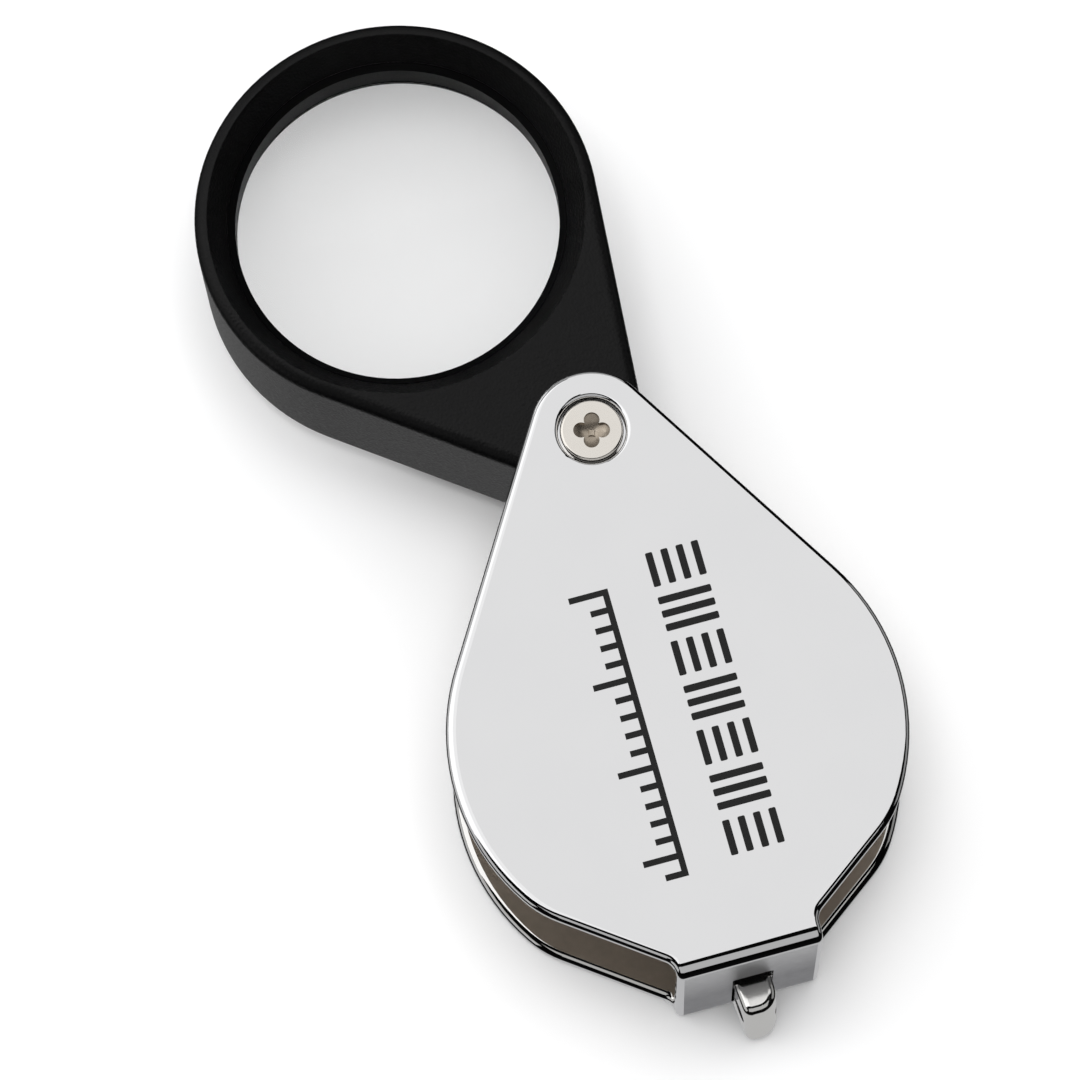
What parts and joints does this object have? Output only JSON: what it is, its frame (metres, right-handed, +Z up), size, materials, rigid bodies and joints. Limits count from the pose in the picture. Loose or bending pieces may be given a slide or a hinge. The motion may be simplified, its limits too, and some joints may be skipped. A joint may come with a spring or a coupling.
{
  "type": "folding loupe",
  "caption": "Folding pocket loupe: a drop-shaped metal case whose black lens housing swings out on a screw pivot, with a lanyard eye at its end.",
  "frame": {"origin": "centre of the case's round lobe, on the underside that the loupe rests on", "axes": "+Z up, square to the case plates and along the pivot; +Y from the lobe to the pivot, with the end strap and the lanyard lug at -Y; the lens housing is swung out past the pivot, turned 24.5 degrees towards -X"},
  "size_m": [0.0306, 0.0592, 0.0116],
  "materials": {
    "case_chrome": "mirror-bright chrome plate",
    "lug_chrome": "polished chrome plate",
    "screw_nickel": "warm satin nickel plate",
    "washer_nylon": "natural nylon",
    "spring_steel": "plain spring steel",
    "bush_brass": "machined brass",
    "housing_black": "fine-grained black moulding",
    "ring_black": "satin black anodised",
    "lens_glass": "polished coated glass"
  },
  "bodies": {
    "case": {"case_cover": "case_chrome", "lanyard_lug": "lug_chrome", "pivot_screw": "screw_nickel", "pivot_sleeve": "screw_nickel", "friction_washer": "washer_nylon", "spring_washer": "spring_steel"},
    "lens_unit": {"lens_housing": "housing_black", "pivot_bush": "bush_brass", "upper_lens": "lens_glass", "lower_lens": "lens_glass", "lens_spacer": "ring_black", "upper_retaining_ring": "ring_black", "lower_retaining_ring": "ring_black"}
  },
  "joints": [
    {"name": "housing_swing", "type": "hinge", "parent": "case", "child": "lens_unit", "pos_m": [0, 0.0173, 0.0058], "axis": [0, 0, 1], "continuous": true}
  ]
}
